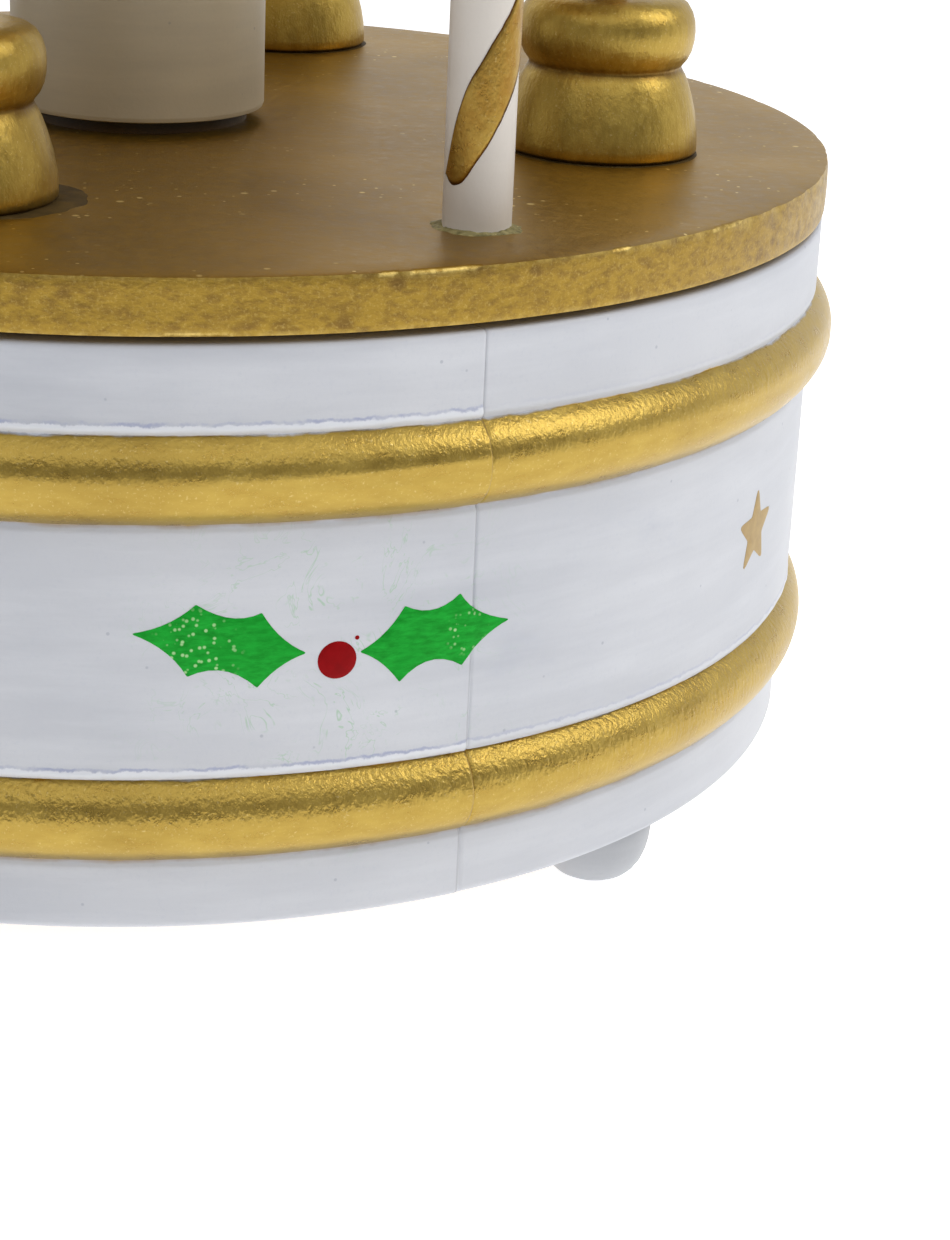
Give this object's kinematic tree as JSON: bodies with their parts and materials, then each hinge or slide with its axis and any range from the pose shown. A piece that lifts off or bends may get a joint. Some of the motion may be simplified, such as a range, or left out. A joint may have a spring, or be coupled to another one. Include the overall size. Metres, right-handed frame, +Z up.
{
  "type": "carousel music box",
  "caption": "Carousel music box: a wind-up movement in a turned wooden drum turns a gilt platform with a column, striped poles, horses and a round canopy.",
  "frame": {"origin": "on the table under the middle of the drum, at the bottom of the feet", "axes": "+Z up along the carousel axis; the first foot stands towards +X -Y"},
  "size_m": [0.1178, 0.1176, 0.1898],
  "materials": {
    "white_paint": "satin brushed paint",
    "gilt": "gilt paint, satin",
    "gilt_board": "dull gilt paint on plywood",
    "plain_wood": "bare sanded",
    "striped_pole": "white paint with a gilt ribbon",
    "painted_horse": "painted",
    "brass": "machined",
    "steel": "bright",
    "spring_steel": "blued",
    "cast_metal": "matt cast",
    "nylon": "matt"
  },
  "bodies": {
    "base": {"drum_shell": "white_paint", "top_board": "plain_wood", "deck_bush": "brass", "thrust_washer": "nylon", "bottom_board": "plain_wood", "bottom_board_screws": "steel", "foot_1": "white_paint", "foot_2": "white_paint", "foot_3": "white_paint", "foot_4": "white_paint", "bedplate": "cast_metal", "movement_screws": "steel", "cylinder_bearing_inner": "cast_metal", "cylinder_bearing_outer": "cast_metal", "plate_screws": "steel", "music_comb": "steel", "comb_screws": "steel", "governor_frame": "cast_metal"},
    "carousel": {"platform": "gilt_board", "turntable_hub": "brass", "hub_screws": "steel", "drive_shaft": "steel", "spring_barrel": "brass", "barrel_wheel": "brass", "mainspring": "spring_steel", "center_column": "white_paint", "pole_1": "striped_pole", "pole_2": "striped_pole", "pole_3": "striped_pole", "pole_4": "striped_pole", "pedestal_1": "gilt", "pedestal_2": "gilt", "pedestal_3": "gilt", "pedestal_4": "gilt", "horse_rod_1": "gilt", "horse_rod_2": "gilt", "horse_rod_3": "gilt", "horse_rod_4": "gilt", "horse_1": "painted_horse", "horse_2": "painted_horse", "horse_3": "painted_horse", "horse_4": "painted_horse", "canopy_ceiling": "gilt_board", "canopy_rim": "white_paint", "canopy_roof": "white_paint", "finial": "gilt"},
    "winding": {"winding_arbor": "steel", "ratchet_wheel": "steel", "winding_key": "brass"},
    "tune": {"tune_cylinder": "brass", "cylinder_arbor": "steel", "cylinder_pinion": "brass", "cylinder_wheel": "brass"},
    "idler": {"governor_idler": "brass"},
    "air_brake": {"governor_worm": "steel", "governor_fan": "nylon"},
    "click": {"click": "steel"}
  },
  "joints": [
    {"name": "turntable_turn", "type": "hinge", "parent": "base", "child": "carousel", "pos_m": [0, 0, 0.0482], "axis": [0, 0, 1], "continuous": true},
    {"name": "key_turn", "type": "hinge", "parent": "base", "child": "winding", "pos_m": [0, 0, 0.015], "axis": [0, 0, 1], "continuous": true},
    {"name": "tune_turn", "type": "hinge", "parent": "base", "child": "tune", "pos_m": [0.024, 0, 0.02705], "axis": [1, 0, 0], "continuous": true},
    {"name": "idler_turn", "type": "hinge", "parent": "base", "child": "idler", "pos_m": [0.032, 0.00805, 0.02705], "axis": [1, 0, 0], "continuous": true},
    {"name": "air_brake_turn", "type": "hinge", "parent": "base", "child": "air_brake", "pos_m": [0.0336, 0.01344, 0.02705], "axis": [0, 0, 1], "continuous": true},
    {"name": "click_lift", "type": "hinge", "parent": "base", "child": "click", "pos_m": [-0.0106, -0.0074, 0.02], "axis": [0, 0, 1], "range_deg": [-10, 0], "stiffness_Nm_per_rad": 0.00002}
  ],
  "couplings": [
    {"joint": "tune_turn", "follows": "turntable_turn", "ratio": 4},
    {"joint": "idler_turn", "follows": "turntable_turn", "ratio": -16},
    {"joint": "air_brake_turn", "follows": "turntable_turn", "ratio": 192}
  ]
}
